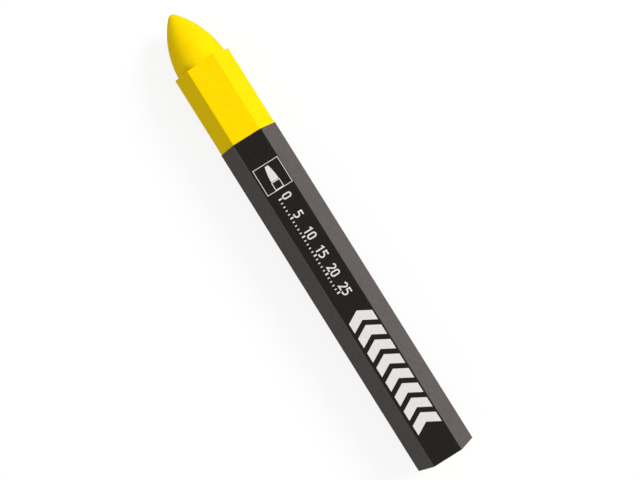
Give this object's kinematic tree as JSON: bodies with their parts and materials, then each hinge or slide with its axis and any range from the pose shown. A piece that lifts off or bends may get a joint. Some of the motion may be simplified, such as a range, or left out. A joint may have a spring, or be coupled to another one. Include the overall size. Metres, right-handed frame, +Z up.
{
  "type": "wax marking crayon",
  "caption": "Hexagonal stick of yellow marking wax with a round point, wrapped in a dark paper label, for marking timber, metal and stone by hand.",
  "frame": {"origin": "under the middle of the stick's length, on the surface that it lies on", "axes": "+X along the stick from the point to the butt, +Z up out of the printed flat, +Y across it"},
  "size_m": [0.12, 0.0146, 0.0128],
  "materials": {
    "wax": "satin",
    "label_paper": "satin",
    "print_white": "satin"
  },
  "bodies": {
    "root": {"wax_stick": "wax", "label_wrap": "label_paper"}
  },
  "joints": []
}
